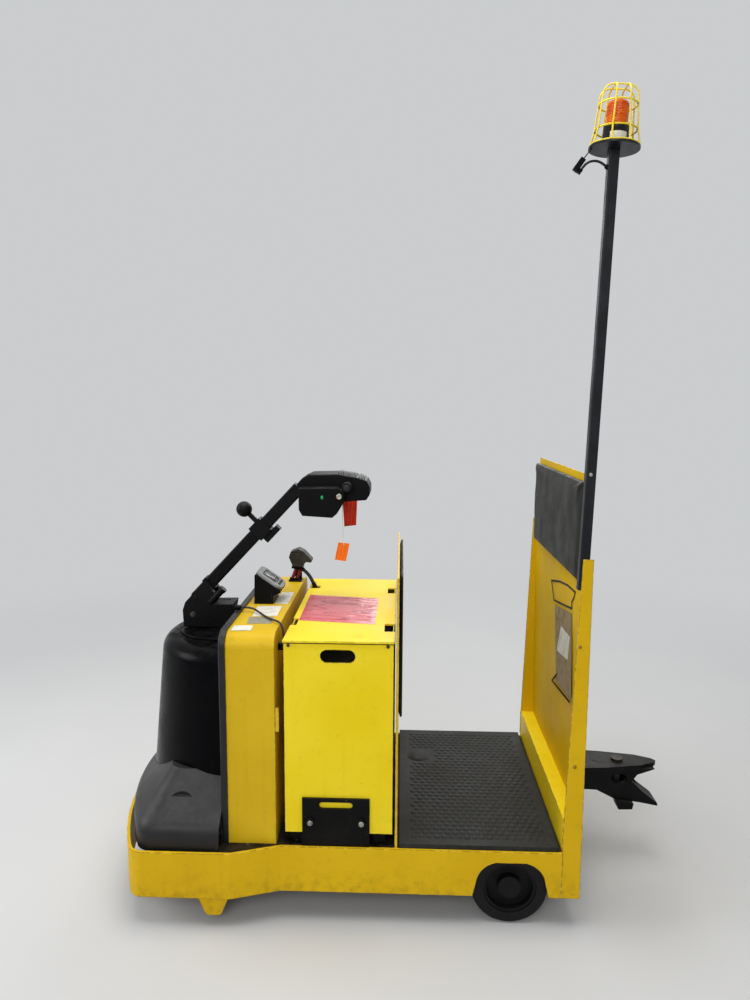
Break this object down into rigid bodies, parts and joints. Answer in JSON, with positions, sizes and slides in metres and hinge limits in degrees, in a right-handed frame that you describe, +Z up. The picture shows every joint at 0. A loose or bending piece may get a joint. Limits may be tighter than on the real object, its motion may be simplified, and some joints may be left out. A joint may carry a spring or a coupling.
{
  "type": "stand-up electric tow tractor",
  "caption": "Battery tow tractor for a standing driver: low frame with bowed bumper, tiller on a drive tower, padded backrest, caged lamp on a pole, rear hitch.",
  "frame": {"origin": "on the floor, on the centreline, at the middle of the overall length", "axes": "+X forward, +Y to the tractor's left, +Z up"},
  "size_m": [1.9178, 0.952, 2.5579],
  "materials": {
    "frame_paint": "gloss paint, scratched",
    "battery_paint": "gloss paint, scratched",
    "black_paint": "satin black paint",
    "tower_plastic": "glossy moulding",
    "shroud_plastic": "satin moulding",
    "black_plastic": "satin",
    "grey_plastic": "satin",
    "pole_paint": "satin paint",
    "cast_black": "painted casting",
    "cast_grey": "painted casting",
    "steel": "ground steel",
    "tyre_rubber": "worn rubber",
    "mat_rubber": "pebbled rubber",
    "pad_vinyl": "grained vinyl",
    "amber_lens": "ribbed lens",
    "cage_paint": "gloss paint",
    "cells": "plain",
    "lead_rubber": "cable jacket",
    "red_lead": "battery cable jacket"
  },
  "bodies": {
    "chassis": {"frame_skirt": "frame_paint", "deck_plate": "frame_paint", "skid_feet": "frame_paint", "drive_cradle": "black_paint", "axle_brackets": "black_paint", "battery_rails": "black_paint", "battery_case": "battery_paint", "battery_cells": "cells", "battery_lid": "battery_paint", "battery_retainers": "black_paint", "console": "frame_paint", "tower_flange": "tower_plastic", "tower_cover": "tower_plastic", "tower_ring": "shroud_plastic", "lower_shroud": "shroud_plastic", "display_pod": "black_plastic", "display_face": "grey_plastic", "power_socket": "black_plastic", "power_handle": "grey_plastic", "partition": "battery_paint", "knee_pad": "pad_vinyl", "floor_mat": "mat_rubber", "kick_box": "frame_paint", "backrest_gussets": "frame_paint", "backrest_panel": "frame_paint", "back_pad": "pad_vinyl", "rear_tie": "frame_paint", "hitch_casting": "cast_black", "hitch_pin": "steel", "hitch_lever": "black_paint", "beacon_pole": "pole_paint", "beacon_base": "black_paint", "beacon_lens": "amber_lens", "beacon_cage": "cage_paint", "lead_glands": "black_plastic", "lead_plug": "black_plastic", "beacon_lead": "lead_rubber", "console_lead": "lead_rubber", "battery_lead_front": "red_lead", "battery_lead_rear": "red_lead", "battery_lead_black": "lead_rubber"},
    "steer_head": {"steer_casting": "cast_black", "traction_motor": "cast_grey", "drive_gearbox": "cast_grey"},
    "drive_wheel": {"drive_tyre": "tyre_rubber", "drive_hub": "cast_grey"},
    "tiller": {"tiller_arm": "black_paint", "ball_mount": "black_plastic", "control_head": "black_plastic", "control_grips": "black_plastic"},
    "load_wheel_left": {"load_tyre_left": "tyre_rubber", "load_hub_left": "cast_grey"},
    "load_wheel_right": {"load_tyre_right": "tyre_rubber", "load_hub_right": "cast_grey"}
  },
  "joints": [
    {"name": "steering", "type": "hinge", "parent": "chassis", "child": "steer_head", "pos_m": [0.715, 0, 0.3], "axis": [0, 0, 1], "range_deg": [-80, 80]},
    {"name": "drive_spin", "type": "hinge", "parent": "steer_head", "child": "drive_wheel", "pos_m": [0.715, 0, 0.125], "axis": [0, 1, 0], "continuous": true},
    {"name": "tiller_tilt", "type": "hinge", "parent": "steer_head", "child": "tiller", "pos_m": [0.735, 0, 0.969], "axis": [0, -1, 0], "range_deg": [0, 15], "stiffness_Nm_per_rad": 80, "springref_deg": -68.75},
    {"name": "load_spin_left", "type": "hinge", "parent": "chassis", "child": "load_wheel_left", "pos_m": [-0.368, 0.358, 0.123], "axis": [0, 1, 0], "continuous": true},
    {"name": "load_spin_right", "type": "hinge", "parent": "chassis", "child": "load_wheel_right", "pos_m": [-0.368, -0.358, 0.123], "axis": [0, 1, 0], "continuous": true}
  ]
}
